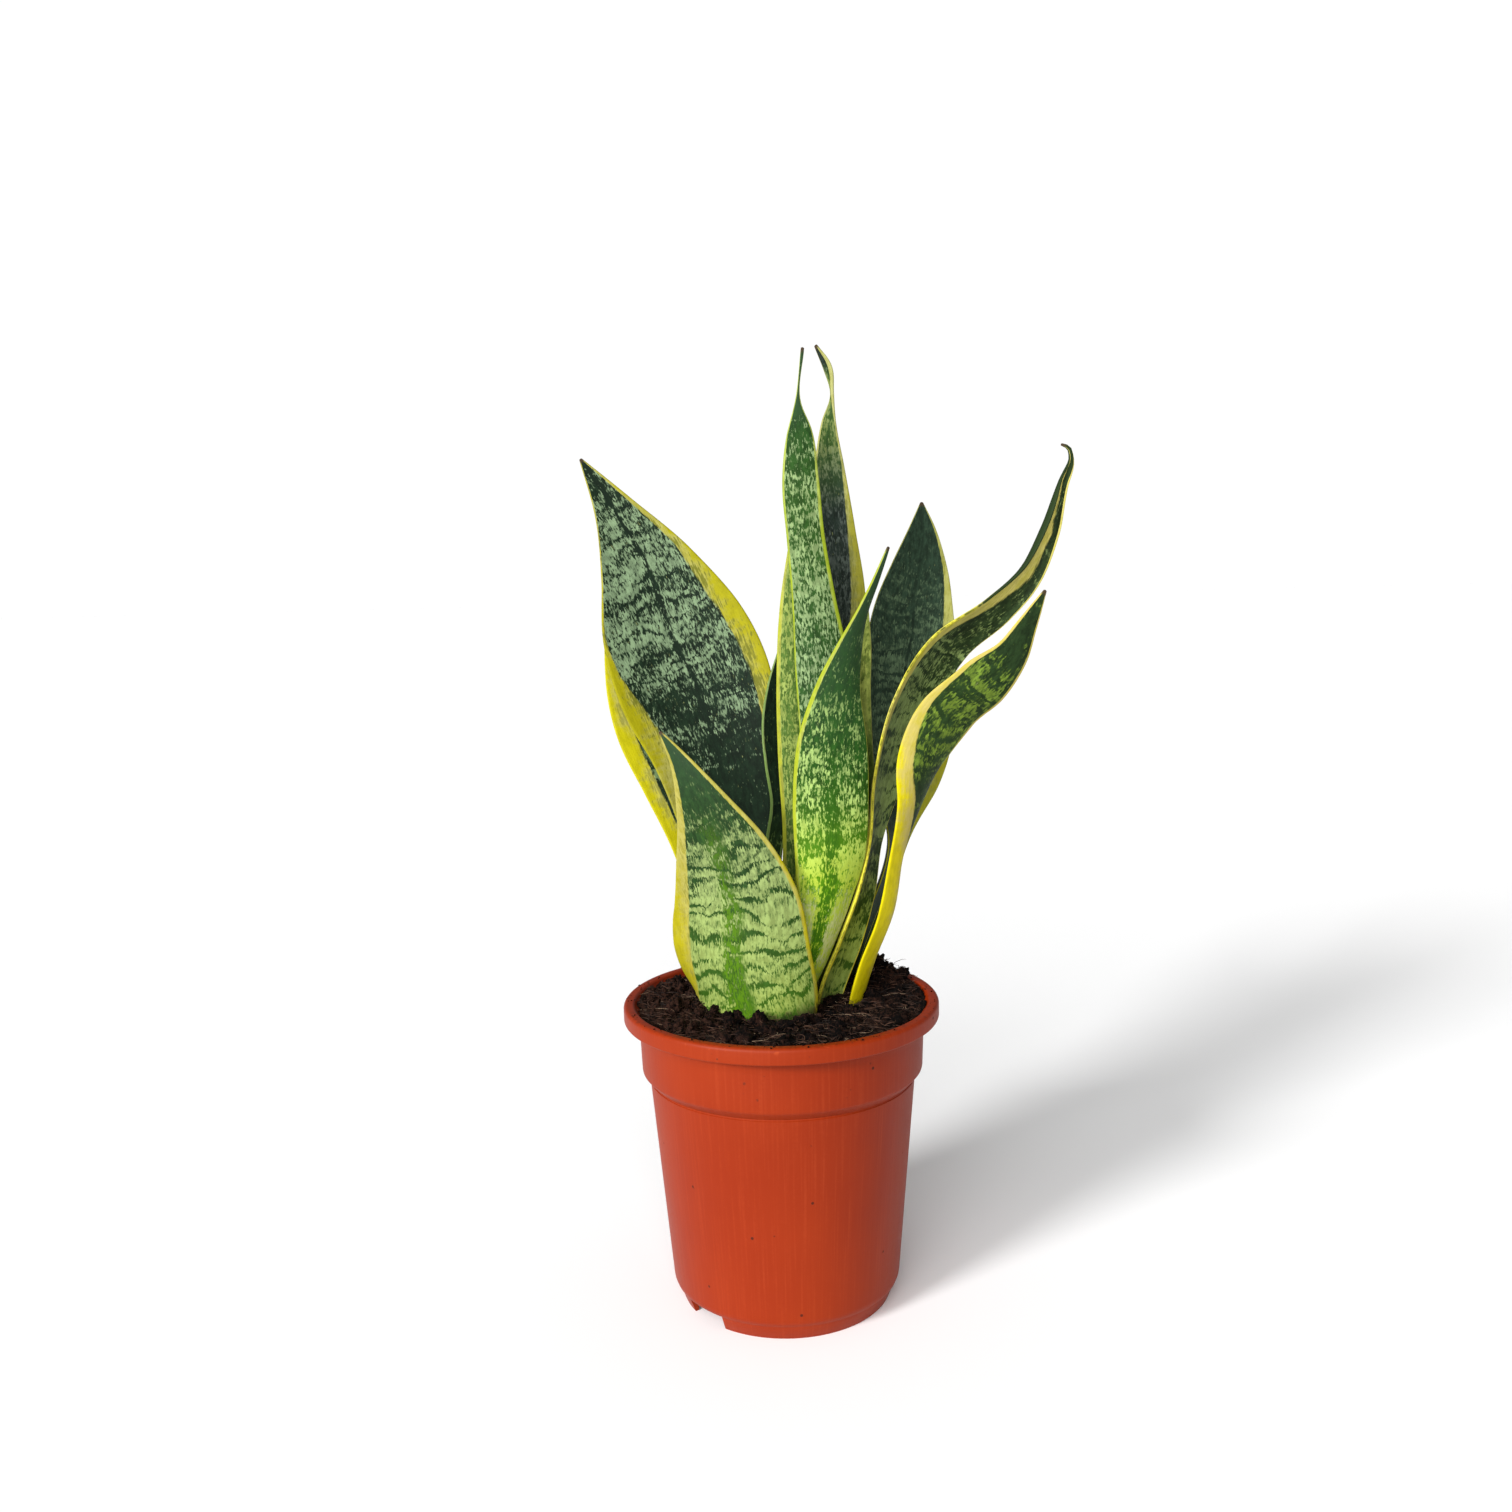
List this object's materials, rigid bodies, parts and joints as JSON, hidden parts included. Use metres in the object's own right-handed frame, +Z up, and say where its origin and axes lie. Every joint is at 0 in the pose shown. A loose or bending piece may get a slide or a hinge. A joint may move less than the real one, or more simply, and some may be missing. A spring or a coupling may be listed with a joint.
{
  "type": "potted snake plant",
  "caption": "Young variegated snake plant with upright, yellow-edged, banded leaves in a round terracotta-coloured plastic nursery pot of dark soil.",
  "frame": {"origin": "centre of the pot's base, on the flat pad in its middle, in the plane the foot ring stands on", "axes": "+Z up along the pot's axis, -Y towards the front of the plant, +X to the right seen from the front"},
  "size_m": [0.1868, 0.12, 0.3644],
  "materials": {
    "pot_plastic": "satin moulded plastic, fine scratches",
    "soil": "moist crumbly peat with fibres",
    "rhizome_skin": "smooth skin with leaf scars",
    "leaf": "waxy, half gloss, banded green with yellow margins"
  },
  "bodies": {
    "root": {"pot": "pot_plastic", "soil": "soil", "rhizome": "rhizome_skin", "leaf_tall_left": "leaf", "leaf_behind_left": "leaf", "leaf_front": "leaf", "leaf_tall_centre": "leaf", "leaf_centre_back": "leaf", "leaf_tall_back": "leaf", "leaf_inner_left": "leaf", "leaf_front_centre": "leaf", "leaf_small_centre": "leaf", "leaf_back_right": "leaf", "leaf_curly_right": "leaf", "leaf_front_right": "leaf"}
  },
  "joints": []
}
